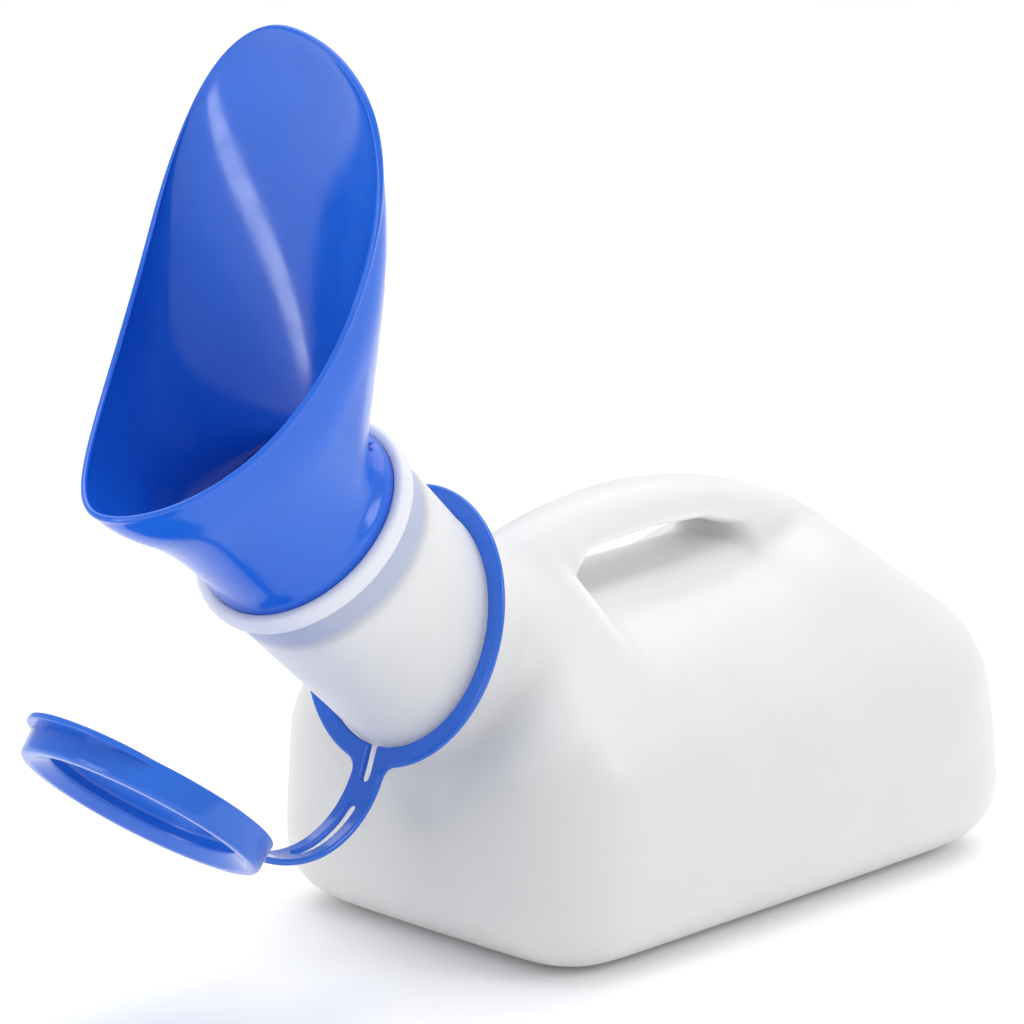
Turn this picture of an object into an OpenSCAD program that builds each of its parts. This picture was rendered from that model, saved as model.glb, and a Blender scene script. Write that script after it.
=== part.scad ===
// Portable urine bottle: a hollow jerry-can shaped body that lies on its base, with a moulded
// handle and a slanted neck, a scoop-shaped funnel that plugs into the mouth, and a push-fit
// cap that hangs from a flexible strap and a ring round the neck.
// Origin: centre of the resting face. +Z up, the neck points towards -X, the sides face +-Y.

/* [Body] */
// Length of the body from front face to back face
body_l = 196; // [190:1:202]
// Width of the body
body_w = 125; // [121:1:129]
// Height of the handle's crest above the base
body_h = 116.5; // [115:0.5:118]
// Wall thickness of the body
body_wall = 1.8; // [1.4:0.1:2.2]
// Radius of the edge between the base and the sides
base_edge_r = 20; // [18:1:22]
// Radius of the front upright corners
front_corner_r = 25; // [22:1:27]
// Radius of the rear upright corners
rear_corner_r = 31; // [29:1:34]
// Radius of the front shoulders
front_shoulder_r = 28; // [26:1:30]
// Height of the front shoulders' centres
front_shoulder_z = 48; // [46:1:50]
// Radius of the rear shoulders
rear_shoulder_r = 37; // [35:1:39]
// Height of the rear shoulders' centres
rear_shoulder_z = 42; // [40:1:44]

/* [Handle] */
// Half width of the handle's flat flanks
handle_half_w = 16.5; // [15:0.5:17]
// Radius of the handle's top edge
handle_r = 15; // [14:0.5:16]
// Radius of the arc that the crest follows
crest_r = 160; // [150:2:170]
// Distance of the highest point of the crest behind the front face
crest_x = 84; // [82:1:86]
// Distance of the finger hole's front end behind the front face
hole_front = 50; // [48:1:52]
// Distance of the finger hole's rear end behind the front face
hole_rear = 120; // [118:1:122]
// Depth of the handle bar from its crest to the finger hole
bar_depth = 12; // [11.5:0.5:13]

/* [Neck] */
// Angle of the neck above the horizontal
neck_tilt = 43.4; // [42:0.2:45]
// Height at which the neck's axis crosses the plane of the front face
neck_z = 90.6; // [90:0.2:91.4]
// Length of the neck from that plane to the mouth
neck_len = 52.4; // [51:0.2:54]
// Outer radius of the neck at the mouth
neck_r = 30.4; // [30.2:0.1:30.6]
// Outer radius of the neck at its root
neck_root_r = 29.3; // [29.1:0.1:29.5]
// Outer radius of the bead round the mouth
bead_r = 32.4; // [32.2:0.1:32.5]
// Radius of the mouth's bore
bore_r = 28.8; // [28.6:0.1:28.9]

/* [Funnel] */
// Radial clearance between the funnel's plug and the bore
plug_gap = 0.08; // [0.05:0.01:0.1]
// Depth of the plug in the mouth
plug_depth = 16; // [14:1:18]
// Wall thickness of the plug
plug_wall = 1.9; // [1.7:0.1:2.1]
// Wall thickness of the scoop
scoop_wall = 1.3; // [1.2:0.1:1.4]
// Greatest half width of the scoop's rim
scoop_half_w = 40.5; // [38:0.5:42]

/* [Cap and strap] */
// Outer radius of the cap
cap_r = 34; // [33.9:0.1:34.4]
// Height of the cap's skirt
cap_h = 8.5; // [8:0.5:10]
// Wall thickness of the cap
cap_wall = 1.3; // [1.2:0.1:1.3]
// Radius of the sunken panel in the cap
cap_panel_r = 26; // [25:0.5:26.5]
// Thickness of the ring and the strap
strap_t = 1.8; // [1.6:0.1:2]
// Width of the strap
strap_w = 11; // [10:0.5:12]
// Width of the band of the ring
ring_band = 5.2; // [5:0.2:6]
// Lean of the ring from the upright
ring_lean = 19.7; // [18:0.5:21]
// Clearance between the neck and the ring
ring_gap = 0.5; // [0.4:0.1:0.8]

/* [Hidden] */

BODY_COLOUR = [0.93, 0.93, 0.94];
BLUE = [0.10, 0.33, 0.84];

front = -body_l / 2;
half_w = body_w / 2;
over = 1;                      // how far a cutting shape runs past the face it opens
fine = 96;                     // facets of true round faces
hull_fn = 28;                  // facets of the round pieces inside a hull

// Ridge of the handle, as places behind the front face that the crest arc passes
ridge_stations = [36, 54, 72, 90, 108, 126, 142, 156];
crest_centre_z = body_h - crest_r;
ridge_path_r = crest_r - handle_r;

// Finger pockets beside the handle
pocket_floor_z = 90.2;         // height of the pocket floor where it meets the handle's flank
pocket_fall = 6;               // slope of the pocket floor, outwards and down
pocket_low_z = 72;
pocket_top_z = 140;

// Neck, measured along its own axis from the plane of the front face
neck_root = -36;
bore_root = -31;
bead_width = 5.2;
inner_bore_r = neck_root_r - body_wall;
bore_depth = plug_depth + 0.4;
plug_r = bore_r - plug_gap;

// Ring
ring_in_r = neck_root_r + ring_gap;
ring_out_r = ring_in_r + ring_band;
ring_low = ring_out_r / cos(neck_tilt - ring_lean);

// Strap path in the plane of symmetry: two arcs, given by radius and heading
drop_r = 28;
rise_r = 38;
cap_lift = 38.6;               // slope of the hanging cap
root_heading = 270 - ring_lean;
low_heading = 180;
cap_heading = 180 - cap_lift;
arc_steps = 12;
slot_w = 2.6;                  // width of the slots along the strap
fork_turn = 8;                 // turn of the strap over its forked root
slot_turn = 17;                // turn of the strap at which its long slot starts
touch_gap = 0.05;              // gap where the strap meets the cap, which turns on its own

// ---- shared helpers ----

function at_angle(r, a) = [r * cos(a), r * sin(a)];

// Angle of the outward normal on the straight stretch from circle a to circle b
function tangent_angle(a, b) =
    let (v = [b[0] - a[0], b[1] - a[1]])
    atan2(v[1], v[0]) - acos((a[2] - b[2]) / norm(v));

// Outline of a belt pulled round circles [x, y, r], anticlockwise, each grown by grow
function belt(c, grow = 0, step = 10) =
    [for (i = [0:len(c) - 1])
        let (a0 = tangent_angle(c[(i + len(c) - 1) % len(c)], c[i]),
             a1 = tangent_angle(c[i], c[(i + 1) % len(c)]),
             sweep = ((a1 - a0) % 360 + 360) % 360,
             n = max(1, ceil(sweep / step)))
        for (k = [0:n])
            [c[i][0], c[i][1]] + at_angle(c[i][2] + grow, a0 + sweep * k / n)];

// Draws a child made in the (x, z) plane as a slab centred on y = 0
module across(width) {
    rotate([90, 0, 0]) linear_extrude(width, center = true) children();
}

// Moves to the neck's frame: +Z along the neck's axis, +X to its upper side
module neck_frame(along = 0) {
    translate([front, 0, neck_z]) rotate([0, neck_tilt - 90, 0]) translate([0, 0, along])
        children();
}

// Point in the row's frame of a place along the neck, above it and to the side
function neck_point(along, above, side) =
    [front - along * cos(neck_tilt) + above * sin(neck_tilt),
     side,
     neck_z + along * sin(neck_tilt) + above * cos(neck_tilt)];

// ---- bottle body ----

// Torus with a filled middle, standing on z = 0: the round foot of an upright corner
module foot(corner_r, inset) {
    translate([0, 0, base_edge_r]) rotate_extrude($fn = hull_fn)
        intersection() {
            translate([corner_r - base_edge_r, 0]) circle(base_edge_r - inset, $fn = hull_fn);
            translate([0, -body_h]) square([body_w, 2 * body_h]);
        }
}

// The closed outer form of the body, shrunk on every side by inset
module body_form(inset) {
    hull() {
        for (side = [-1, 1]) {
            translate([front + front_corner_r, side * (half_w - front_corner_r), 0])
                foot(front_corner_r, inset);
            translate([-front - rear_corner_r, side * (half_w - rear_corner_r), 0])
                foot(rear_corner_r, inset);
            translate([front + front_shoulder_r, side * (half_w - front_shoulder_r),
                       front_shoulder_z])
                sphere(front_shoulder_r - inset, $fn = hull_fn);
            translate([-front - rear_shoulder_r, side * (half_w - rear_shoulder_r),
                       rear_shoulder_z])
                sphere(rear_shoulder_r - inset, $fn = hull_fn);
        }
        for (x = ridge_stations)
            translate([front + x + (crest_x - x) * handle_r / crest_r, 0,
                       crest_centre_z + sqrt(pow(ridge_path_r, 2)
                       - pow((x - crest_x) * ridge_path_r / crest_r, 2))])
                sphere(handle_r - inset, $fn = hull_fn);
    }
}

// Outline of the finger hole, seen from the side
function hole_outline(grow) =
    let (top = body_h - bar_depth)
    belt([[front + hole_front + 5, 95.5, 4.5],
          [front + hole_rear - 3, 96.5, 2.5],
          [front + crest_x + 20, top - 5.9, 4.5],
          [front + crest_x, top - 6, 6],
          [front + hole_front + 9, top - 6, 5]], grow);

// Outlines of a finger pocket, seen from the side: a level part with a steep front wall,
// and a long ramp that runs out to the rear
function pocket_outline(grow) =
    belt([[front + hole_front + 7, pocket_low_z, 8],
          [front + hole_rear - 10, pocket_low_z, 8],
          [front + hole_rear - 10, pocket_top_z, 8],
          [front + hole_front + 3, pocket_top_z, 8]], grow);

function ramp_outline(grow) =
    belt([[front + hole_rear - 8, 93, 6],
          [front + hole_rear + 42, 113, 6],
          [front + hole_rear + 42, pocket_top_z, 6],
          [front + hole_rear - 30, pocket_top_z, 6]], grow);

// Space for the fingers under and beside the handle
module finger_space(grow) {
    across(body_w + 4 * over) polygon(hole_outline(grow));
    for (side = [-1, 1])
        intersection() {
            translate([0, side * (handle_half_w - grow + body_w / 2), 0])
                across(body_w) {
                    polygon(pocket_outline(grow));
                    polygon(ramp_outline(grow));
                }
            pocket_floor_cut(side, grow);
        }
}

// Everything above the sloping pocket floor on one side
module pocket_floor_cut(side, grow) {
    translate([0, side * handle_half_w, pocket_floor_z - grow])
        rotate([-side * pocket_fall, 0, 0])
            translate([-body_l, -body_w, 0]) cube([2 * body_l, 2 * body_w, body_h]);
}

module neck_outside() {
    neck_frame() rotate_extrude($fn = fine)
        polygon([[0, neck_root],
                 [neck_root_r, neck_root],
                 [neck_root_r, 0],
                 [neck_r, neck_len - bead_width - 2],
                 [bead_r, neck_len - bead_width],
                 [bead_r, neck_len - 1],
                 [bead_r - 1, neck_len],
                 [0, neck_len]]);
}

module neck_inside() {
    neck_frame(neck_len - bore_depth) cylinder(bore_depth + over, r = bore_r, $fn = fine);
    neck_frame(bore_root)
        cylinder(neck_len - bore_depth - bore_root + over, r = inner_bore_r, $fn = fine);
}

module bottle_body() {
    color(BODY_COLOUR)
    difference() {
        union() {
            body_form(0);
            neck_outside();
        }
        difference() {
            body_form(body_wall);
            finger_space(body_wall);
        }
        neck_inside();
        finger_space(0);
    }
}

// ---- funnel ----

turns = 48;                    // columns round the scoop
rows = 12;                     // rows from the throat to the rim
throat = neck_len + 5;         // place along the neck where the scoop leaves the plug
embed = 3;                     // how far the scoop's root is sunk into the plug's wall
throat_r = plug_r - 0.4;

// Rim of the scoop, seen in half: from the tongue's tip round its widest place to the lip
rim_tip = [front - 40.6, 0, 254];
rim_wide = [front - 50.3, scoop_half_w, 201];
rim_lip = [front - 104, 0, 138];
rim_run = [-0.36, 0, -0.93];   // direction of the rim at its widest place

function bezier(a, b, c, d, t) =
    a * pow(1 - t, 3) + 3 * b * t * pow(1 - t, 2) + 3 * c * t * t * (1 - t) + d * pow(t, 3);

function rim_half(t) =
    t < 0.5
    ? bezier(rim_tip, rim_tip + [0, 11, 0], rim_wide - 46 * rim_run, rim_wide, 2 * t)
    : bezier(rim_wide, rim_wide + 56 * rim_run, rim_lip + [0, 18, 0], rim_lip, 2 * t - 1);

function mirrored(p, flip) = [p[0], flip ? -p[1] : p[1], p[2]];

function rim(turn) =
    let (t = turn / turns * 2)
    t <= 1 ? rim_half(t) : mirrored(rim_half(2 - t), true);

// Point of the scoop's outer skin; turn goes round from the tongue, t from throat to rim
function skin(turn, t) =
    let (angle = turn * 360 / turns,
         back = pow((1 + cos(angle)) / 2, 2),
         root = neck_point(throat, throat_r * cos(angle), throat_r * sin(angle)),
         axis = neck_point(1, 0, 0) - neck_point(0, 0, 0),
         radial = neck_point(0, cos(angle), sin(angle)) - neck_point(0, 0, 0),
         edge = rim(turn),
         chord = edge - root,
         bulge = radial - chord * (radial * chord) / (chord * chord))
    bezier(root,
           root + axis * 32 * (1 - back),
           edge - chord * (0.36 + 0.34 * back) + bulge * (3 + 12 * back),
           edge, t);

function unit(v) = v / norm(v);

function skin_normal(turn, t) =
    let (d = 0.02, lo = max(0, t - d), hi = min(1, t + d))
    unit(cross(skin(turn, hi) - skin(turn, lo),
               skin(turn + 0.5, t) - skin(turn - 0.5, t)));

// Half the outside and half the inside of the scoop stand on either side of the skin
function scoop_point(turn, row, inner) =
    row < 0
    ? neck_point(throat - embed, (throat_r - inner) * cos(turn * 360 / turns),
                 (throat_r - inner) * sin(turn * 360 / turns))
    : skin(turn, row / rows) + inner * skin_normal(turn, row / rows);

module scoop() {
    loop = turns;
    layers = rows + 2;
    count = loop * layers;
    outer = [for (row = [-1:rows]) for (turn = [0:loop - 1]) scoop_point(turn, row, 0)];
    inner = [for (row = [-1:rows]) for (turn = [0:loop - 1])
        scoop_point(turn, row, scoop_wall)];
    function id(turn, layer, face) = face * count + layer * loop + turn % loop;
    walls = [for (face = [0, 1]) for (layer = [0:layers - 2]) for (turn = [0:loop - 1])
        let (a = id(turn, layer, face), b = id(turn + 1, layer, face),
             c = id(turn + 1, layer + 1, face), d = id(turn, layer + 1, face))
        each (face == 0 ? [[a, c, b], [a, d, c]] : [[a, b, c], [a, c, d]])];
    ends = [for (top = [0, 1]) for (turn = [0:loop - 1])
        let (layer = top * (layers - 1),
             a = id(turn, layer, 0), b = id(turn + 1, layer, 0),
             c = id(turn + 1, layer, 1), d = id(turn, layer, 1))
        each (top == 0 ? [[a, b, c], [a, c, d]] : [[a, c, b], [a, d, c]])];
    polyhedron(concat(outer, inner), concat(walls, ends), convexity = 6);
}

module funnel() {
    tube_len = plug_depth + throat - embed / 2 - neck_len;
    color(BLUE)
    union() {
        neck_frame(neck_len - plug_depth)
            difference() {
                cylinder(tube_len, r = plug_r, $fn = fine);
                translate([0, 0, -over])
                    cylinder(tube_len + 2 * over, r = plug_r - plug_wall, $fn = fine);
            }
        scoop();
    }
}

// ---- ring, strap and cap ----

// Moves to the ring's frame: +Z along the ring's normal, +X up along the ring
module ring_frame() {
    translate([front, 0, neck_z]) rotate([0, ring_lean - 90, 0]) children();
}

ring_bottom = [front - ring_low * sin(ring_lean), neck_z - ring_low * cos(ring_lean)];

function arc_end(start, r, h0, h1) =
    start + r * [sin(h0) - sin(h1), cos(h1) - cos(h0)];

// Points along an arc that turns clockwise from heading h0 to h1, moved outwards by shift
function arc_points(start, r, h0, h1, shift) =
    let (centre = start + r * [sin(h0), -cos(h0)])
    [for (k = [0:arc_steps])
        let (h = h0 + (h1 - h0) * k / arc_steps)
        centre + (r + shift) * [-sin(h), cos(h)]];

function backwards(list) = [for (i = [len(list) - 1:-1:0]) list[i]];

strap_low = arc_end(ring_bottom, drop_r, root_heading, low_heading);
strap_end = arc_end(strap_low, rise_r, low_heading, cap_heading);

module retaining_ring() {
    length = 4 * ring_out_r;
    color(BLUE)
    difference() {
        intersection() {
            neck_frame(-length / 2) cylinder(length, r = ring_out_r, $fn = fine);
            ring_frame() cube([length, length, strap_t], center = true);
        }
        neck_frame(-length / 2 - over)
            cylinder(length + 2 * over, r = ring_in_r, $fn = fine);
        ring_frame() translate([-ring_low, 0, 0])
            cube([2 * ring_band + 2, slot_w, 4 * strap_t], center = true);
    }
}

// Side view of the strap, or of a slot through it when grown and cut short
module strap_side(from_heading, to_heading, grow, whole) {
    start = arc_end(ring_bottom, drop_r, root_heading, from_heading);
    reach = 6;
    t = strap_t / 2 + grow;
    root = ring_bottom - reach * [cos(root_heading), sin(root_heading)];
    tip = strap_end + reach * [cos(cap_heading), sin(cap_heading)];
    root_side = t * [-sin(root_heading), cos(root_heading)];
    tip_side = t * [-sin(cap_heading), cos(cap_heading)];
    polygon(concat(
        whole ? [root + root_side] : [],
        arc_points(start, drop_r, from_heading, to_heading, t),
        whole ? arc_points(strap_low, rise_r, low_heading, cap_heading, t) : [],
        whole ? [tip + tip_side, tip - tip_side] : [],
        whole ? backwards(arc_points(strap_low, rise_r, low_heading, cap_heading, -t)) : [],
        backwards(arc_points(start, drop_r, from_heading, to_heading, -t)),
        whole ? [root - root_side] : []));
}

module cap_strap() {
    color(BLUE)
    difference() {
        across(strap_w) strap_side(root_heading, low_heading, 0, true);
        across(slot_w) strap_side(root_heading, root_heading - fork_turn, over, false);
        across(slot_w) strap_side(root_heading - slot_turn, low_heading + over, over, false);
        neck_frame(-2 * ring_out_r) cylinder(4 * ring_out_r, r = ring_out_r, $fn = fine);
        cap_frame() translate([0, 0, -cap_h])
            cylinder(3 * cap_h, r = cap_r + touch_gap, $fn = fine);
    }
}

module cap_frame() {
    translate([strap_end[0], 0, strap_end[1]]) rotate([0, cap_lift - 180, 0])
        translate([cap_r, 0, -strap_t / 2]) children();
}

// Section of the cap, from its axis outwards; z = 0 at the open rim, z = cap_h outside
module cap_section() {
    plug_out = cap_panel_r + cap_wall;
    panel_z = cap_h - 6;
    polygon([[0, panel_z],
             [0, panel_z - cap_wall],
             [plug_out, panel_z - cap_wall],
             [plug_out, cap_h - cap_wall],
             [cap_r - cap_wall, cap_h - cap_wall],
             [cap_r - cap_wall, 0],
             [cap_r, 0],
             [cap_r, cap_h - 1.5],
             [cap_r - 1.5, cap_h],
             [cap_panel_r, cap_h],
             [cap_panel_r, panel_z]]);
}

module cap() {
    color(BLUE)
    cap_frame() {
        rotate_extrude($fn = fine) cap_section();
        pull_tab();
    }
}

// Crescent at the rim, opposite the strap
module pull_tab() {
    tab_r = 26;
    tab_reach = 5.5;
    tab_t = 1.6;
    difference() {
        translate([cap_r + tab_reach - tab_r, 0, 0]) cylinder(tab_t, r = tab_r, $fn = fine);
        translate([0, 0, -over]) cylinder(tab_t + 2 * over, r = cap_r - cap_wall / 2, $fn = fine);
    }
}

bottle_body();
funnel();
retaining_ring();
cap_strap();
cap();
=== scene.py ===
"""Looks of a portable urine bottle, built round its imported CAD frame.

The bottle is one blow-moulded milky shell, made as a smooth field that is zero on its surface.
The funnel, the neck ring, the strap and the cap are blue mouldings, swept and lathed.
Lengths are millimetres in the row's frame until a mesh is made: the origin is the centre of the
resting face, +Z is up and the neck points towards -X.
"""

import math

import bmesh
import bpy
import numpy as np
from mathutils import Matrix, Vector


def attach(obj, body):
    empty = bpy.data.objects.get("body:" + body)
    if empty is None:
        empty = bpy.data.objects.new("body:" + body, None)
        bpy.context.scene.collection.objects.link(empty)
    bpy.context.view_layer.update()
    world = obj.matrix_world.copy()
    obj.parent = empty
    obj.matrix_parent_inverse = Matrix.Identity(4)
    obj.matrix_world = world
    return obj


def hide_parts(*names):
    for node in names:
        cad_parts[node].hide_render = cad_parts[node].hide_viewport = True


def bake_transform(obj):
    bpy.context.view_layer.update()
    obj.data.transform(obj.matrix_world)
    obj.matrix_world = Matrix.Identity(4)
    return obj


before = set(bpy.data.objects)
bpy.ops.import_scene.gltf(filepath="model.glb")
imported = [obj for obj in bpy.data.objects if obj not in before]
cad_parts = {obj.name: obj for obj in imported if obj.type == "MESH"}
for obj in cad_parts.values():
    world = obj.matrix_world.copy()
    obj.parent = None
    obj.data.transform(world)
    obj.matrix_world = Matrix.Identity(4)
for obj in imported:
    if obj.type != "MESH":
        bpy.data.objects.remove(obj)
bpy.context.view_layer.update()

MM = 0.001

# ---- sizes, as in the CAD part ----

BODY_L, BODY_W, BODY_H = 196.0, 125.0, 116.5
WALL = 1.8
FRONT = -BODY_L / 2
HALF_W = BODY_W / 2
BASE_EDGE_R = 20.0
FRONT_CORNER_R, REAR_CORNER_R = 25.0, 31.0
FRONT_SHOULDER_R, FRONT_SHOULDER_Z = 28.0, 48.0
REAR_SHOULDER_R, REAR_SHOULDER_Z = 37.0, 42.0
HANDLE_HALF_W, HANDLE_R = 16.5, 15.0
CREST_R, CREST_X = 160.0, 84.0
RIDGE_STATIONS = range(36, 160, 8)
HOLE_FRONT, HOLE_REAR, BAR_DEPTH = 50.0, 120.0, 12.0
FLOOR_FRONT_Z, FLOOR_REAR_Z, FLOOR_ARCH = 90.0, 92.0, 0.006

NECK_TILT = math.radians(43.4)
NECK_Z, NECK_LEN = 90.6, 52.4
NECK_ROOT_R, NECK_R, BEAD_R, BORE_R = 29.3, 30.4, 32.4, 28.8
PLUG_R, PLUG_DEPTH, PLUG_WALL = 28.72, 16.0, 1.9

SCOOP_WALL, SCOOP_HALF_W = 1.3, 40.5
THROAT = NECK_LEN + 5
THROAT_R = PLUG_R - 0.4
LEDGE = 3.0
RIM_EXTRA = 0.5                # how much thicker the rolled rim is than the scoop's wall
RIB_SHARE, RIB_TOP, RIB_T = 0.09, 0.10, 1.0

RING_LEAN = math.radians(19.7)
RING_IN_R, RING_BAND = 29.8, 5.2
STRAP_T, STRAP_W, SLOT_W = 1.8, 11.0, 2.6
CAP_R, CAP_H, CAP_WALL, CAP_PANEL_R = 34.0, 8.5, 1.3, 26.0
DISH_R, DISH_DEPTH = 30.4, 2.6
CAP_LIFT = math.radians(38.6)
DROP_R, RISE_R = 28.0, 38.0

SIDE = np.array([0.0, 1.0, 0.0])
NECK_AXIS = np.array([-math.cos(NECK_TILT), 0, math.sin(NECK_TILT)])
NECK_UP = np.array([math.sin(NECK_TILT), 0, math.cos(NECK_TILT)])
NECK_START = np.array([FRONT, 0, NECK_Z])


def neck_point(along, above, side):
    return NECK_START + along * NECK_AXIS + above * NECK_UP + side * SIDE


# ---- mesh helpers ----

def make_piece(name, verts, faces, material, crease_angle=180.0):
    """Adds an object from vertices in millimetres. Edges sharper than crease_angle stay sharp."""
    mesh = bpy.data.meshes.new(name)
    mesh.from_pydata((np.asarray(verts, float) * MM).tolist(), [], [list(f) for f in faces])
    bm = bmesh.new()
    bm.from_mesh(mesh)
    bmesh.ops.recalc_face_normals(bm, faces=bm.faces)
    for f in bm.faces:
        f.smooth = True
    limit = math.radians(crease_angle)
    for e in bm.edges:
        e.smooth = e.calc_face_angle(0) < limit
    bm.to_mesh(mesh)
    bm.free()
    obj = bpy.data.objects.new(name, mesh)
    bpy.context.collection.objects.link(obj)
    mesh.materials.append(material)
    return obj


def tube_faces(rings, count, first=0, close=False):
    """Quads between successive rings of count vertices; close joins the last ring to the first."""
    faces = []
    for r in range(rings if close else rings - 1):
        a, b = first + r * count, first + (r + 1) % rings * count
        for k in range(count):
            n = (k + 1) % count
            faces.append((a + k, a + n, b + n, b + k))
    return faces


def rounded(profile, radius, steps=4):
    """A closed or open outline of (u, v) points with each corner cut back to a small arc."""
    out = []
    pts = [np.array(p[:2], float) for p in profile]
    radii = [p[2] if len(p) > 2 else radius for p in profile]
    for i, p in enumerate(pts):
        a, b = pts[i - 1] - p, pts[(i + 1) % len(pts)] - p
        la, lb = np.linalg.norm(a), np.linalg.norm(b)
        cut = min(radii[i], 0.45 * la, 0.45 * lb)
        if cut < 1e-6:
            out.append(p)
            continue
        start, end = p + a / la * cut, p + b / lb * cut
        for k in range(steps + 1):
            t = k / steps
            out.append((1 - t) ** 2 * start + 2 * t * (1 - t) * p + t ** 2 * end)
    return out


# ---- body field ----

def smooth_min(a, b, blend):
    h = np.maximum(blend - np.abs(a - b), 0)
    return np.minimum(a, b) - h * h / (4 * blend)


def smooth_max(a, b, blend):
    return -smooth_min(-a, -b, blend)


def sphere_points(centre, radius, steps=44):
    """Points spread over a sphere, with rows at its poles and its equator."""
    lat = np.linspace(-math.pi / 2, math.pi / 2, steps // 2 + 1)
    lon = np.arange(steps) * 2 * math.pi / steps
    la, lo = np.meshgrid(lat, lon)
    unit = np.stack([np.cos(la) * np.cos(lo), np.cos(la) * np.sin(lo), np.sin(la)], -1)
    return np.array(centre) + radius * unit.reshape(-1, 3)


def foot_points(centre, corner_r, steps=44):
    """Points over the round foot under an upright corner."""
    turn = np.arange(steps) * 2 * math.pi / steps
    fall = np.linspace(-math.pi / 2, 0, steps // 4 + 1)
    t, f = np.meshgrid(turn, fall)
    reach = corner_r - BASE_EDGE_R + BASE_EDGE_R * np.cos(f)
    pts = np.stack([reach * np.cos(t), reach * np.sin(t), BASE_EDGE_R * (1 + np.sin(f))], -1)
    return np.array([centre[0], centre[1], 0]) + pts.reshape(-1, 3)


def body_planes():
    """Unit normals and offsets of the facets of the body's closed form, each listed once."""
    pts = []
    for side in (-1, 1):
        pts.append(foot_points((FRONT + FRONT_CORNER_R, side * (HALF_W - FRONT_CORNER_R)),
                               FRONT_CORNER_R))
        pts.append(foot_points((-FRONT - REAR_CORNER_R, side * (HALF_W - REAR_CORNER_R)),
                               REAR_CORNER_R))
        pts.append(sphere_points((FRONT + FRONT_SHOULDER_R, side * (HALF_W - FRONT_SHOULDER_R),
                                  FRONT_SHOULDER_Z), FRONT_SHOULDER_R))
        pts.append(sphere_points((-FRONT - REAR_SHOULDER_R, side * (HALF_W - REAR_SHOULDER_R),
                                  REAR_SHOULDER_Z), REAR_SHOULDER_R))
    path_r = CREST_R - HANDLE_R
    for station in RIDGE_STATIONS:
        reach = (station - CREST_X) * path_r / CREST_R
        z = BODY_H - CREST_R + math.sqrt(path_r ** 2 - reach ** 2)
        pts.append(sphere_points((FRONT + CREST_X + reach, 0, z), HANDLE_R))
    bm = bmesh.new()
    for p in np.vstack(pts):
        bm.verts.new(p)
    bmesh.ops.convex_hull(bm, input=bm.verts)
    middle = Vector((0, 0, 50))
    found = {}
    for f in bm.faces:
        if f.calc_area() < 1e-4:
            continue
        n, c = f.normal, f.calc_center_median()
        if n.dot(c - middle) < 0:
            n = -n
        found.setdefault(tuple(round(v, 2) for v in n), (*n, n.dot(c)))
    bm.free()
    planes = np.array(list(found.values()), np.float32)
    return planes[:, :3], planes[:, 3]


EDGE_SOFTNESS = 0.35
PLANES, OFFSETS = body_planes()


def body_field(p):
    """Signed distance from the body's closed form, with its facets melted into each other."""
    out = np.empty(len(p))
    for i in range(0, len(p), 20000):
        d = p[i:i + 20000].astype(np.float32) @ PLANES.T - OFFSETS
        top = d.max(1)
        with np.errstate(under="ignore"):
            spread = np.exp((d - top[:, None]) / EDGE_SOFTNESS).sum(1)
        out[i:i + 20000] = top + EDGE_SOFTNESS * np.log(spread)
    return out


def neck_radius(along):
    return np.interp(along, [0, NECK_LEN - 7], [NECK_ROOT_R, NECK_R])


NECK_CUT = 18.0                # where the lathed neck takes over from the field
NECK_FIELD_SPARE = 7.0         # how far the field's neck runs past that cut
NECK_ROOT = -36.0
NECK_BLEND = 9.0               # at 12 the ring cuts into the shoulder as it swivels


def neck_field(p):
    q = p - NECK_START
    along = q @ NECK_AXIS
    across = np.hypot(q @ NECK_UP, q[:, 1])
    return np.maximum(across - neck_radius(along),
                      np.maximum(along - NECK_CUT - NECK_FIELD_SPARE, NECK_ROOT - along))


def belt_field(p, circles):
    """Distance in the (x, z) plane from a belt pulled round circles (x, z, radius)."""
    turn = np.arange(180) * 2 * math.pi / 180
    n = np.stack([np.cos(turn), np.sin(turn)])
    reach = np.max([c[0] * n[0] + c[1] * n[1] + c[2] for c in circles], axis=0)
    return (p[:, [0, 2]] @ n - reach).max(1)


BAR_UNDER = BODY_H - BAR_DEPTH
HOLE = [(FRONT + HOLE_FRONT + 5, 95.5, 4.5), (FRONT + HOLE_REAR - 3, 96.5, 2.5),
        (FRONT + CREST_X + 20, BAR_UNDER - 5.9, 4.5), (FRONT + CREST_X, BAR_UNDER - 6, 6),
        (FRONT + HOLE_FRONT + 9, BAR_UNDER - 6, 5)]
POCKET = [(FRONT + HOLE_FRONT + 7, 72, 8), (FRONT + HOLE_REAR - 10, 72, 8),
          (FRONT + HOLE_REAR - 10, 140, 8), (FRONT + HOLE_FRONT + 3, 140, 8)]
RAMP = [(FRONT + HOLE_REAR - 8, 93, 6), (FRONT + HOLE_REAR + 42, 113, 6),
        (FRONT + HOLE_REAR + 42, 140, 6), (FRONT + HOLE_REAR - 30, 140, 6)]


def pocket_field(p):
    """Space beside the handle: an arched floor with a steep front wall and a ramp behind."""
    out = np.abs(p[:, 1]) - HANDLE_HALF_W
    ridge = np.interp(p[:, 0], [FRONT + HOLE_FRONT, FRONT + HOLE_REAR],
                      [FLOOR_FRONT_Z, FLOOR_REAR_Z])
    floor = ridge - FLOOR_ARCH * p[:, 1] ** 2 - p[:, 2]
    plan = smooth_min(belt_field(p, POCKET), belt_field(p, RAMP), 14)
    return smooth_max(smooth_max(plan, -out, 5), floor, 6)


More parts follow.
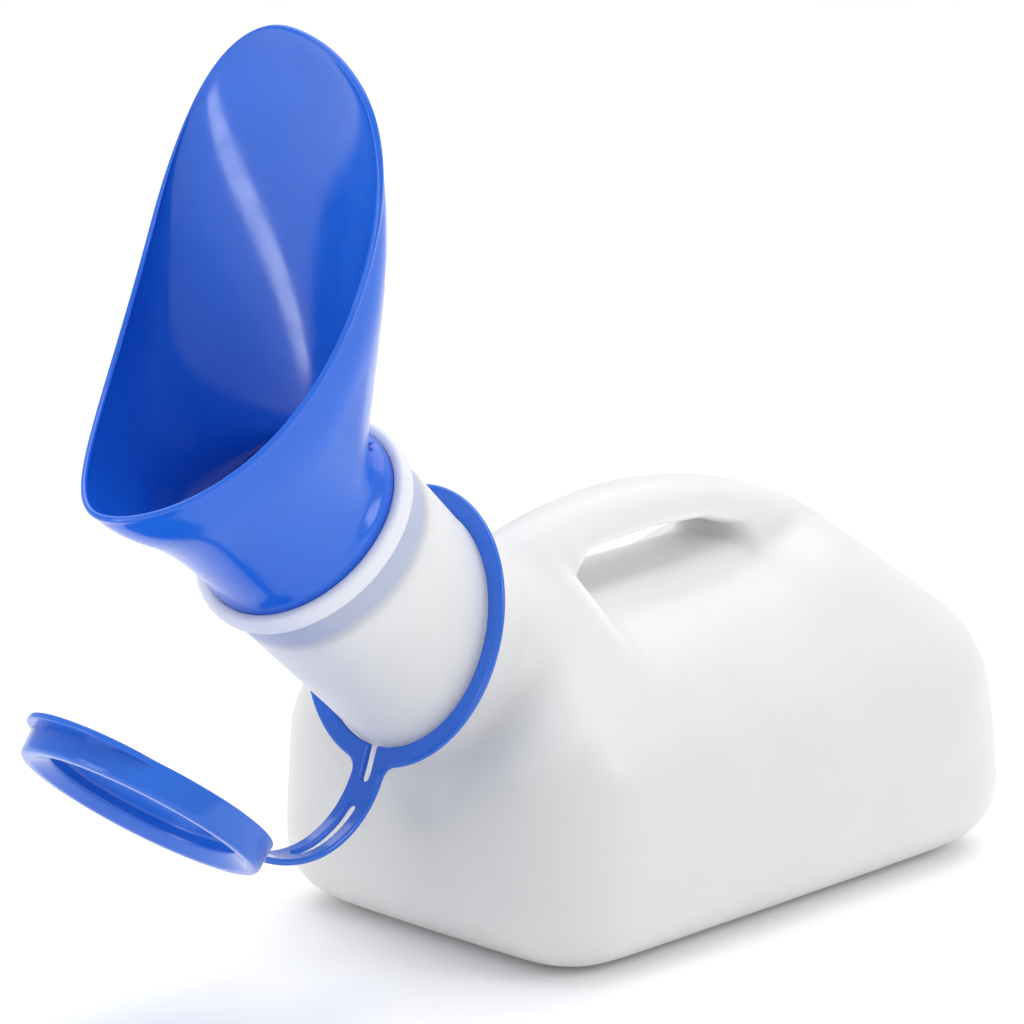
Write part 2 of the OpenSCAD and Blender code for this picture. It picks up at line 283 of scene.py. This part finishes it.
def bottle_field(p):
    """Zero on the outer skin of the bottle up to the neck's cut, negative inside it."""
    skin = smooth_min(body_field(p), neck_field(p), NECK_BLEND)
    skin = smooth_max(skin, -belt_field(p, HOLE), 3.5)
    edge = np.interp(p[:, 0], [FRONT + 62, FRONT + 135], [4, 12])
    return smooth_max(skin, -pocket_field(p), edge)


def field_slope(field, p, step=0.2):
    base = field(p)
    grad = np.stack([field(p + step * np.eye(3)[k]) - base for k in range(3)], 1) / step
    return base, grad


def surface_net(f, origin, pitch):
    """Vertices and quads of the zero surface of a field sampled on a grid."""
    inside = f < 0
    cells = np.zeros([n - 1 for n in f.shape], np.int8)
    corners = [(i, j, k) for i in (0, 1) for j in (0, 1) for k in (0, 1)]

    def shifted(a, c):
        return a[c[0]:a.shape[0] - 1 + c[0], c[1]:a.shape[1] - 1 + c[1],
                 c[2]:a.shape[2] - 1 + c[2]]

    for c in corners:
        cells += shifted(inside, c)
    crossed = (cells > 0) & (cells < 8)
    where = np.argwhere(crossed)
    number = np.full(crossed.shape, -1)
    number[crossed] = np.arange(len(where))
    total, hits = np.zeros((len(where), 3)), np.zeros(len(where))
    for axis in range(3):
        along = np.eye(3, dtype=int)[axis]
        for c in corners:
            if c[axis]:
                continue
            a = f[tuple((where + c).T)]
            b = f[tuple((where + c + along).T)]
            cut = (a < 0) != (b < 0)
            t = np.where(cut, a / np.where(cut, a - b, 1), 0)
            total[cut] += (where + c + t[:, None] * along)[cut]
            hits += cut
    verts = origin + pitch * total / hits[:, None]
    quads = []
    for axis in range(3):
        u, v = [k for k in range(3) if k != axis]
        if axis == 1:
            u, v = v, u
        near = [slice(1, -1)] * 3
        near[axis] = slice(0, -1)
        far = list(near)
        far[axis] = slice(1, None)
        a, b = inside[tuple(near)], inside[tuple(far)]
        spots = np.argwhere(a != b) + [0 if k == axis else 1 for k in range(3)]
        eu, ev = np.eye(3, dtype=int)[u], np.eye(3, dtype=int)[v]
        ring = [number[tuple((spots - s).T)] for s in (0 * eu, eu, eu + ev, ev)]
        quad = np.stack(ring, 1)
        flip = inside[tuple(spots.T)]
        quad[~flip] = quad[~flip][:, ::-1]
        quads.append(quad)
    return verts, np.vstack(quads)


SKIN_BAND, CUT_BAND = 5.0, 6.0  # how near the skin or a cut the full field is worked out


def bottle_skin():
    """The bottle's outer skin, cut square across the neck, as vertices and faces."""
    pitch = 1.3
    low = np.array([FRONT - 42, -HALF_W - 4, -4])
    high = np.array([-FRONT + 4, HALF_W + 4, 130])
    half_rows = int(high[1] / pitch) + 1
    ax = np.arange(low[0], high[0], pitch)
    ay = np.arange(0, half_rows + 1) * pitch
    az = np.arange(low[2], high[2], pitch)
    grid = np.stack(np.meshgrid(ax, ay, az, indexing="ij"), -1).reshape(-1, 3)
    rough = smooth_min(np.max(grid.astype(np.float32) @ PLANES[::7].T - OFFSETS[::7], axis=1),
                       neck_field(grid), NECK_BLEND)
    band = np.abs(rough) < SKIN_BAND
    near_cut = (pocket_field(grid) < CUT_BAND) | (belt_field(grid, HOLE) < CUT_BAND)
    deep = (rough <= -SKIN_BAND) & near_cut
    value = rough.copy()
    value[band | deep] = bottle_field(grid[band | deep])
    value = value.reshape(len(ax), len(ay), len(az))
    value = np.concatenate([value[:, :0:-1], value], axis=1)
    origin = np.array([ax[0], -ay[-1], az[0]])
    verts, faces = surface_net(value, origin, pitch)
    for _ in range(2):
        base, grad = field_slope(bottle_field, verts)
        verts -= grad * (base / np.maximum((grad ** 2).sum(1), 0.25))[:, None]
    return verts, faces


def cut_neck(verts, faces):
    """Cuts the skin square across the neck and draws the cut edge onto the neck's true circle.

    Returns the vertices, the faces, and the edge's vertices in order round the neck.
    """
    bm = bmesh.new()
    made = [bm.verts.new(v) for v in verts]
    for f in faces:
        bm.faces.new([made[i] for i in f])
    plane = neck_point(NECK_CUT, 0, 0)
    bmesh.ops.bisect_plane(bm, geom=bm.verts[:] + bm.edges[:] + bm.faces[:],
                           plane_co=plane, plane_no=NECK_AXIS, clear_outer=True)
    loose = [v for v in bm.verts if not v.link_faces]
    bmesh.ops.delete(bm, geom=loose, context="VERTS")
    rim_edges = [e for e in bm.edges if e.is_boundary and e.calc_length() < 0.25]
    bmesh.ops.collapse(bm, edges=rim_edges)
    rim = {v for e in bm.edges if e.is_boundary for v in e.verts}
    for v in rim:
        q = np.array(v.co) - NECK_START
        turn = math.atan2(q[1], q @ NECK_UP)
        r = neck_radius(NECK_CUT)
        v.co = neck_point(NECK_CUT, r * math.cos(turn), r * math.sin(turn))
    bm.normal_update()
    bm.verts.index_update()

    def turn_of(v):
        q = np.array(v.co) - NECK_START
        return math.atan2(q[1], q @ NECK_UP)

    loop = [v.index for v in sorted(rim, key=turn_of)]
    out = np.array([v.co for v in bm.verts])
    quads = [[v.index for v in f.verts] for f in bm.faces]
    bm.free()
    return out, quads, loop


def bottle(material):
    """The milky shell: outer skin, lathed neck and mouth, and the inside one wall further in."""
    verts, faces = bottle_skin()
    verts, faces, loop = cut_neck(verts, faces)
    _, grad = field_slope(bottle_field, verts)
    normal = grad / np.linalg.norm(grad, axis=1)[:, None]
    q = verts[loop] - NECK_START
    turn = np.arctan2(q[:, 1], q @ NECK_UP)
    normal[loop] = np.cos(turn)[:, None] * NECK_UP + np.sin(turn)[:, None] * SIDE
    inner = verts - WALL * normal

    groove = NECK_LEN - 6.2
    bore_end = NECK_LEN - PLUG_DEPTH - 0.4
    wall_r = neck_radius(NECK_CUT) - WALL
    profile = [(24, neck_radius(24)), (32, neck_radius(32)), (40, neck_radius(40)),
               (groove - 1.2, neck_radius(groove) + 0.05), (groove - 0.4, NECK_R - 0.1),
               (groove, NECK_R + 0.05), (groove + 0.5, NECK_R + 0.6), (groove + 1, NECK_R + 1.4),
               (groove + 1.7, BEAD_R - 0.2), (groove + 2.6, BEAD_R), (NECK_LEN - 1.6, BEAD_R),
               (NECK_LEN - 0.9, BEAD_R - 0.2), (NECK_LEN - 0.35, BEAD_R - 0.6),
               (NECK_LEN - 0.05, BEAD_R - 1.2), (NECK_LEN, BEAD_R - 1.8),
               (NECK_LEN - 0.05, BORE_R + 0.7), (NECK_LEN - 0.3, BORE_R + 0.25),
               (NECK_LEN - 0.8, BORE_R), (bore_end + 2, BORE_R), (bore_end + 0.3, BORE_R),
               (bore_end, BORE_R - 0.2), (bore_end - 0.6, wall_r + 0.2),
               (bore_end - 1.2, wall_r), (26, wall_r)]
    rings = [neck_point(a, 0, 0) + r * (np.cos(turn)[:, None] * NECK_UP
                                        + np.sin(turn)[:, None] * SIDE) for a, r in profile]
    n, first = len(loop), 2 * len(verts)
    total = np.vstack([verts, inner] + rings)
    shell = [list(f) for f in faces] + [[i + len(verts) for i in reversed(f)] for f in faces]
    shell += tube_faces(len(profile), n, first)
    last = first + (len(profile) - 1) * n
    for k in range(n):
        m = (k + 1) % n
        shell.append((loop[k], loop[m], first + m, first + k))
        shell.append((last + k, last + m, loop[m] + len(verts), loop[k] + len(verts)))
    return make_piece("bottle", total, shell, material)


# ---- funnel ----

RIM_TIP = np.array([FRONT - 40.6, 0, 254])
RIM_WIDE = np.array([FRONT - 50.3, SCOOP_HALF_W, 201])
RIM_LIP = np.array([FRONT - 104, 0, 138])
RIM_RUN = np.array([-0.36, 0, -0.93])


def bezier(a, b, c, d, t):
    return a * (1 - t) ** 3 + 3 * b * t * (1 - t) ** 2 + 3 * c * t * t * (1 - t) + d * t ** 3


def rim_point(share):
    """Point of the scoop's rim; share runs from the tongue's tip round to the tip again."""
    t = 2 * share if share <= 0.5 else 2 - 2 * share
    if t < 0.5:
        p = bezier(RIM_TIP, RIM_TIP + 11 * SIDE, RIM_WIDE - 46 * RIM_RUN, RIM_WIDE, 2 * t)
    else:
        p = bezier(RIM_WIDE, RIM_WIDE + 56 * RIM_RUN, RIM_LIP + 18 * SIDE, RIM_LIP, 2 * t - 1)
    return p if share <= 0.5 else p * [1, -1, 1]


def scoop_skin(share, t):
    """Point of the scoop's outer skin; t runs from the throat to the rim."""
    angle = 2 * math.pi * share
    back = ((1 + math.cos(angle)) / 2) ** 2
    radial = math.cos(angle) * NECK_UP + math.sin(angle) * SIDE
    root = neck_point(THROAT, 0, 0) + (THROAT_R - LEDGE * back) * radial
    edge = rim_point(share)
    chord = edge - root
    bulge = radial - chord * (radial @ chord) / (chord @ chord)
    return bezier(root, root + NECK_AXIS * 32 * (1 - back),
                  edge - chord * (0.36 + 0.34 * back) + bulge * (3 + 12 * back), edge, t)


def rib(side):
    """Gusset that stands on the ledge and runs out up the scoop's back: vertices and faces."""
    share = RIB_SHARE if side > 0 else 1 - RIB_SHARE
    angle = 2 * math.pi * share
    radial = math.cos(angle) * NECK_UP + math.sin(angle) * SIDE
    across = math.cos(angle) * SIDE - math.sin(angle) * NECK_UP
    rings = []
    for t in np.linspace(0, RIB_TOP, 8):
        foot = scoop_skin(share, t) - 0.4 * radial
        reach = 0.5 + (LEDGE - 0.4) * (1 - t / RIB_TOP)
        half = RIB_T / 2
        rings.append([foot - half * across, foot - half * across + reach * radial,
                      foot + half * across + reach * radial, foot + half * across])
    faces = tube_faces(len(rings), 4)
    faces += [(0, 1, 2, 3), tuple(4 * len(rings) - k for k in range(1, 5))]
    return np.array(rings).reshape(-1, 3), faces


def funnel(material):
    """Scoop and plug in one skin with a wall, and a rim that is rounded over."""
    around, rows = 160, 44
    share = np.arange(around) / around
    grid = np.array([[scoop_skin(s, t) for s in share] for t in np.linspace(0, 1, rows)])
    across = np.roll(grid, -1, 1) - np.roll(grid, 1, 1)
    up = np.gradient(grid, axis=0)
    inward = np.cross(up, across)
    inward /= np.linalg.norm(inward, axis=2)[:, :, None]
    radial = (np.cos(2 * np.pi * share)[:, None] * NECK_UP
              + np.sin(2 * np.pi * share)[:, None] * SIDE)
    if (inward[0] * radial).sum() > 0:
        inward = -inward

    def ring(along, r):
        return neck_point(along, 0, 0) + r * radial

    plug_end = NECK_LEN - PLUG_DEPTH
    outside = [ring(plug_end + 0.5, PLUG_R), ring(plug_end + 6, PLUG_R),
               ring(NECK_LEN - 1, PLUG_R), ring(NECK_LEN + 1.2, PLUG_R),
               ring(NECK_LEN + 2.2, PLUG_R - 0.05), ring(NECK_LEN + 3.6, THROAT_R + 0.12)]
    outside += list(grid)
    rim_out = up[-1] / np.linalg.norm(up[-1], axis=1)[:, None]
    lip = 0.5 * (SCOOP_WALL + RIM_EXTRA)
    mid = grid[-1] + inward[-1] * SCOOP_WALL / 2
    rolled = [mid - lip * math.cos(a) * inward[-1] + lip * math.sin(a) * rim_out
              for a in np.linspace(-0.5, math.pi + 0.5, 12)]
    inside = [row + inward[k] * SCOOP_WALL for k, row in enumerate(grid)][::-1]
    bore = [ring(NECK_LEN + 2, PLUG_R - PLUG_WALL + 0.1), ring(NECK_LEN, PLUG_R - PLUG_WALL),
            ring(plug_end + 0.5, PLUG_R - PLUG_WALL), ring(plug_end, PLUG_R - PLUG_WALL + 0.5),
            ring(plug_end, PLUG_R - 0.5)]
    rings = outside[:-1] + rolled + inside[1:] + bore
    verts, faces = np.vstack(rings), tube_faces(len(rings), around, close=True)
    for side in (-1, 1):
        more, more_faces = rib(side)
        faces += [tuple(len(verts) + k for k in f) for f in more_faces]
        verts = np.vstack([verts, more])
    return make_piece("funnel_scoop", verts, faces, material, 60)


# ---- ring, strap and cap ----

RING_UP = np.array([math.sin(RING_LEAN), 0, math.cos(RING_LEAN)])
RING_NORMAL = np.array([-math.cos(RING_LEAN), 0, math.sin(RING_LEAN)])
RING_OUT_R = RING_IN_R + RING_BAND
SKEW = 1 / math.cos(NECK_TILT - RING_LEAN)


def ring_point(u, v, w):
    """u runs up the ring's plane, v to the side, w along its normal."""
    return NECK_START + u * RING_UP + v * SIDE + w * RING_NORMAL


def strap_path(samples=36):
    """Points and headings of the strap's middle line, from the ring down and up to the cap."""
    low_ring = ring_point(-RING_OUT_R * SKEW, 0, 0)
    start = np.array([low_ring[0], low_ring[2]])
    path = []
    legs = [(1.5 * math.pi - RING_LEAN, math.pi, DROP_R), (math.pi, math.pi - CAP_LIFT, RISE_R)]
    for begin, end, r in legs:
        for h in np.linspace(begin, end, samples):
            p = start + r * np.array([math.sin(begin) - math.sin(h),
                                      math.cos(h) - math.cos(begin)])
            path.append((p[0], p[1], h))
        start = np.array(path[-1][:2])
        path.pop()
    path.append((*start, math.pi - CAP_LIFT))
    return np.array(path)


PATH = strap_path()
TIP = PATH[-1]
CAP_X = np.array([-math.cos(CAP_LIFT), 0, math.sin(CAP_LIFT)])
CAP_Z = np.array([-math.sin(CAP_LIFT), 0, -math.cos(CAP_LIFT)])
CAP_MIDDLE = np.array([TIP[0], 0, TIP[1]]) + CAP_R * CAP_X - STRAP_T / 2 * CAP_Z


FORK_END, SLOT_START, SLOT_END = 4.4, 11.5, 36.5


def stadium(s, v, begin, end, half):
    """Distance from a slot of round ends that runs along s from begin to end."""
    return np.hypot(s - np.clip(s, begin + half, end - half), v) - half


def strap_plan(p):
    """Zero on the outline of ring and strap laid out flat: s runs down from the ring's bottom."""
    s, v, w = p.T
    u = -RING_OUT_R * SKEW - s
    r = np.hypot(u / SKEW, v)
    ring = np.maximum(r - RING_OUT_R, RING_IN_R - r)
    width = STRAP_W / 2 - 0.4 * np.clip((s - 40) / 20, 0, 1)
    strap = np.maximum(np.abs(v) - width, np.maximum(-2.5 - s, s - PATH_LEN - 0.9))
    plan = smooth_min(ring, strap, 3.5)
    plan = smooth_max(plan, -stadium(s, v, -9, FORK_END, SLOT_W / 2), 0.6)
    plan = smooth_max(plan, -stadium(s, v, SLOT_START, SLOT_END, SLOT_W / 2), 0.6)
    return smooth_max(plan, np.abs(w) - STRAP_T / 2, 0.9)


PLACES = np.concatenate([[0], np.cumsum(np.hypot(*np.diff(PATH[:, :2], axis=0).T))])
PATH_LEN = PLACES[-1]


def lay_along(p):
    """Takes points laid out flat to the ring's plane, and along the strap's path below it."""
    s, v, w = p.T
    flat = np.minimum(s, 0) + np.maximum(s - PATH_LEN, 0)
    x, z, h = (np.interp(s, PLACES, PATH[:, k]) for k in range(3))
    x, z = x + flat * np.cos(h), z + flat * np.sin(h)
    return np.stack([x - w * np.sin(h), v, z + w * np.cos(h)], 1)


def ring_and_strap(material):
    """The neck ring, split at the bottom, and the slotted strap that grows out of it."""
    pitch = np.array([0.5, 0.5, 0.3])
    low = np.array([-2 * RING_OUT_R * SKEW - 2, -RING_OUT_R - 2, -STRAP_T])
    high = np.array([PATH_LEN + 3, RING_OUT_R + 2, STRAP_T])
    axes = [np.arange(a, b, d) for a, b, d in zip(low, high, pitch)]
    grid = np.stack(np.meshgrid(*axes, indexing="ij"), -1).reshape(-1, 3)
    value = strap_plan(grid).reshape([len(a) for a in axes])
    verts, faces = surface_net(value, low, pitch)
    for _ in range(3):
        base, grad = field_slope(strap_plan, verts, 0.02)
        verts -= grad * (base / np.maximum((grad ** 2).sum(1), 0.25))[:, None]
    return make_piece("ring_and_strap", lay_along(verts), faces, material)


def cap_point(x, y, z):
    return (CAP_MIDDLE + np.multiply.outer(x, CAP_X) + np.multiply.outer(y, SIDE)
            + np.multiply.outer(z, CAP_Z))


def cap(material):
    """Lathed cap with a sunken panel, and the crescent that a thumb lifts."""
    panel_z = CAP_H - 6
    plug_out = CAP_PANEL_R + CAP_WALL
    section = rounded([(0.01, panel_z, 0), (0.01, panel_z - CAP_WALL, 0),
                       (plug_out, panel_z - CAP_WALL, 0.5),
                       (plug_out, CAP_H - CAP_WALL - 0.7 * DISH_DEPTH, 0.8),
                       (DISH_R, CAP_H - CAP_WALL, 1.5),
                       (CAP_R - CAP_WALL, CAP_H - CAP_WALL, 0.8), (CAP_R - CAP_WALL, 0.6, 0.4),
                       (CAP_R - CAP_WALL + 0.3, 0, 0.3), (CAP_R, 0, 0.35),
                       (CAP_R - 0.25, CAP_H, 1.7), (DISH_R, CAP_H, 0.7),
                       (CAP_PANEL_R, CAP_H - DISH_DEPTH, 0.8),
                       (CAP_PANEL_R, panel_z, 0.9)], 0.4, 5)
    around = 160
    turn = np.arange(around) * 2 * math.pi / around
    rings = [cap_point(r * np.cos(turn), r * np.sin(turn), np.full(around, z))
             for r, z in section]
    verts = np.vstack(rings)
    faces = tube_faces(len(rings), around, close=True)

    tab_r, reach, thick = 26.0, 5.5, 1.6
    centre = CAP_R + reach - tab_r
    tip_x = (CAP_R ** 2 - tab_r ** 2 + centre ** 2) / (2 * centre)
    spread = math.acos((tip_x - centre) / tab_r)
    rim = []
    for a in np.linspace(-spread, spread, 60):
        outer = np.array([centre + tab_r * math.cos(a), tab_r * math.sin(a)])
        inner = outer / np.linalg.norm(outer) * (CAP_R - CAP_WALL / 2)
        width = np.linalg.norm(outer - inner)
        edge = min(0.5, width / 3)
        profile = rounded([(0, 0.0, 0), (width, 0.0, edge), (width, thick, edge),
                           (0, thick, 0)], 0, 4)
        way = (outer - inner) / width
        rim.append([cap_point(*(inner + d * way), z) for d, z in profile])
    n = len(rim[0])
    first = len(verts)
    verts = np.vstack([verts, np.array(rim).reshape(-1, 3)])
    faces += tube_faces(len(rim), n, first)
    faces += [tuple(first + k for k in range(n)),
              tuple(first + (len(rim) - 1) * n + k for k in range(n))[::-1]]
    return make_piece("cap_lid", verts, faces, material, 50)


# ---- materials ----

def new_material(name, colour, roughness):
    mat = bpy.data.materials.new(name)
    mat.use_nodes = True
    shader = mat.node_tree.nodes["Principled BSDF"]
    shader.inputs["Base Color"].default_value = (*colour, 1)
    shader.inputs["Roughness"].default_value = roughness
    return mat, shader


def add_noise(mat, scale, detail=4.0, distort=0.0):
    """Noise in the piece's own space; scale is in cycles per metre."""
    tree = mat.node_tree
    coords = tree.nodes.new("ShaderNodeTexCoord")
    noise = tree.nodes.new("ShaderNodeTexNoise")
    noise.inputs["Scale"].default_value = scale
    noise.inputs["Detail"].default_value = detail
    noise.inputs["Distortion"].default_value = distort
    tree.links.new(coords.outputs["Object"], noise.inputs["Vector"])
    return noise.outputs["Fac"]


def spread(mat, value, low, high):
    """Maps a noise value from its usual middle range to low..high."""
    tree = mat.node_tree
    node = tree.nodes.new("ShaderNodeMapRange")
    node.inputs["From Min"].default_value, node.inputs["From Max"].default_value = 0.3, 0.7
    node.inputs["To Min"].default_value, node.inputs["To Max"].default_value = low, high
    tree.links.new(value, node.inputs["Value"])
    return node.outputs["Result"]


def mix_colours(mat, value, dark, light):
    tree = mat.node_tree
    mix = tree.nodes.new("ShaderNodeMix")
    mix.data_type = "RGBA"
    mix.inputs["A"].default_value = (*dark, 1)
    mix.inputs["B"].default_value = (*light, 1)
    tree.links.new(value, mix.inputs["Factor"])
    return mix.outputs["Result"]


def add_bump(mat, shader, height, distance, strength):
    tree = mat.node_tree
    bump = tree.nodes.new("ShaderNodeBump")
    bump.inputs["Distance"].default_value = distance
    bump.inputs["Strength"].default_value = strength
    tree.links.new(height, bump.inputs["Height"])
    tree.links.new(bump.outputs["Normal"], shader.inputs["Normal"])


# share of the painted plug shade that is left in the bead
BEAD_PAINTED_SHADE = 0.35


def plug_shadow(mat):
    """Mask of the painted shade where the blue plug shows through the neck's wall: one there, less
    in the bead, zero elsewhere.
    """
    tree = mat.node_tree
    coords = tree.nodes.new("ShaderNodeTexCoord")
    along = tree.nodes.new("ShaderNodeVectorMath")
    along.operation = "DOT_PRODUCT"
    along.inputs[1].default_value = tuple(NECK_AXIS)
    tree.links.new(coords.outputs["Object"], along.inputs[0])
    base = NECK_START @ NECK_AXIS
    steps = []
    for start, end in ((NECK_LEN - PLUG_DEPTH - 1, NECK_LEN - PLUG_DEPTH + 4),
                       (NECK_LEN - 5.4, NECK_LEN - 6.4)):
        node = tree.nodes.new("ShaderNodeMapRange")
        node.interpolation_type = "SMOOTHSTEP"
        node.inputs["From Min"].default_value = (base + min(start, end)) * MM
        node.inputs["From Max"].default_value = (base + max(start, end)) * MM
        node.inputs["To Min"].default_value = 0 if start < end else 1
        node.inputs["To Max"].default_value = 1 if start < end else BEAD_PAINTED_SHADE
        tree.links.new(along.outputs["Value"], node.inputs["Value"])
        steps.append(node.outputs["Result"])
    both = tree.nodes.new("ShaderNodeMath")
    both.operation = "MULTIPLY"
    tree.links.new(steps[0], both.inputs[0])
    tree.links.new(steps[1], both.inputs[1])
    return both.outputs["Value"]


def milky_plastic():
    """Blow-moulded polyethylene: translucent white, satin, with a faint uneven skin, and a painted
    bluish shade where the plug sits behind the neck.
    """
    mat, shader = new_material("milky_polyethylene", (0.86, 0.87, 0.89), 0.4)
    links = mat.node_tree.links
    shader.inputs["Subsurface Weight"].default_value = 0.75
    shader.inputs["Subsurface Radius"].default_value = (1.0, 1.0, 1.1)
    shader.inputs["Subsurface Scale"].default_value = 0.012
    shader.inputs["IOR"].default_value = 1.5
    patches = spread(mat, add_noise(mat, 22, 3), 0, 1)
    plain = mix_colours(mat, patches, (0.88, 0.88, 0.90), (0.92, 0.92, 0.93))
    # painted shade: the blue plug seen through the neck's wall, painted into the base colour as a
    # darker bluish band
    painted_plug_shade = mat.node_tree.nodes.new("ShaderNodeMix")
    painted_plug_shade.data_type = "RGBA"
    painted_plug_shade.inputs["B"].default_value = (0.50, 0.57, 0.93, 1)
    links.new(plain, painted_plug_shade.inputs["A"])
    links.new(plug_shadow(mat), painted_plug_shade.inputs["Factor"])
    links.new(painted_plug_shade.outputs["Result"], shader.inputs["Base Color"])
    links.new(spread(mat, add_noise(mat, 60, 4), 0.34, 0.48), shader.inputs["Roughness"])
    add_bump(mat, shader, add_noise(mat, 420, 3), 0.0004, 0.12)
    return mat


def blue_plastic(name, colour, deep, rough):
    """Injection-moulded polypropylene: glossy, with a very fine grain and faint flow marks."""
    mat, shader = new_material(name, colour, rough)
    links = mat.node_tree.links
    shader.inputs["Specular IOR Level"].default_value = 0.5
    shader.inputs["Subsurface Weight"].default_value = 0.06
    shader.inputs["Subsurface Radius"].default_value = (0.3, 0.5, 1.0)
    shader.inputs["Subsurface Scale"].default_value = 0.003
    flow = spread(mat, add_noise(mat, 30, 3, 0.6), 0, 1)
    links.new(mix_colours(mat, flow, deep, colour), shader.inputs["Base Color"])
    links.new(spread(mat, add_noise(mat, 160, 4), rough - 0.04, rough + 0.06),
              shader.inputs["Roughness"])
    add_bump(mat, shader, add_noise(mat, 900, 2), 0.0001, 0.10)
    return mat


milky = milky_plastic()
funnel_blue = blue_plastic("funnel_polypropylene", (0.012, 0.13, 0.68), (0.010, 0.115, 0.62), 0.15)
cap_blue = blue_plastic("cap_polypropylene", (0.016, 0.13, 0.62), (0.013, 0.115, 0.56), 0.12)

# ---- pieces on the frame ----

bottle_piece = bottle(milky)
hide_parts("bottle_body")
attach(bottle_piece, "bottle")

funnel_piece = funnel(funnel_blue)
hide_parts("funnel")
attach(funnel_piece, "funnel")

strap_piece = ring_and_strap(cap_blue)
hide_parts("retaining_ring", "cap_strap")
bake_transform(strap_piece)

cap_piece = cap(cap_blue)
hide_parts("cap")
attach(cap_piece, "cap")

# ---- floor, light and camera ----


def floor_material():
    mat, shader = new_material("floor_pale", (0.93, 0.93, 0.93), 0.5)
    rough = spread(mat, add_noise(mat, 6, 2), 0.45, 0.6)
    mat.node_tree.links.new(rough, shader.inputs["Roughness"])
    return mat


bpy.ops.mesh.primitive_plane_add(size=12, location=(0, 0, -0.0003))
floor = bpy.context.object
floor.name = "floor"
floor.data.materials.append(floor_material())
bpy.context.scene.view_settings.view_transform = "Standard"

world = bpy.data.worlds.new("studio")
bpy.context.scene.world = world
world.use_nodes = True
world.node_tree.nodes["Background"].inputs["Color"].default_value = (1, 1, 1, 1)
world.node_tree.nodes["Background"].inputs["Strength"].default_value = 0.60


def softbox(name, place, aim, size, power):
    data = bpy.data.lights.new(name, "AREA")
    data.shape = "RECTANGLE"
    data.size, data.size_y = size
    data.energy = power
    light = bpy.data.objects.new(name, data)
    light.location = place
    light.rotation_euler = (Vector(aim) - Vector(place)).to_track_quat("-Z", "Y").to_euler()
    bpy.context.collection.objects.link(light)
    return light


middle = (-0.03, 0, 0.08)
softbox("overhead", (0.4, 0.4, 2.2), middle, (3.2, 3.2), 56)
softbox("right_key", (0.5, -1.6, 1.0), middle, (0.9, 0.9), 10)
softbox("left_fill", (-1.7, 0.3, 0.6), middle, (0.9, 0.9), 5)
softbox("low_strip", (-0.55, 0.07, 0.05), (-0.13, 0.03, 0.2), (0.10, 0.07), 0.13)

camera_data = bpy.data.cameras.new("camera")
camera_data.sensor_width = 36
camera_data.lens = 167
camera_data.clip_start, camera_data.clip_end = 0.05, 50
camera = bpy.data.objects.new("camera", camera_data)
camera.location = (-0.9469, -0.8685, 0.4234)
aim = Vector((-0.0780, -0.0205, 0.1216))
camera.rotation_euler = (aim - camera.location).to_track_quat("-Z", "Y").to_euler()
bpy.context.collection.objects.link(camera)
bpy.context.scene.camera = camera
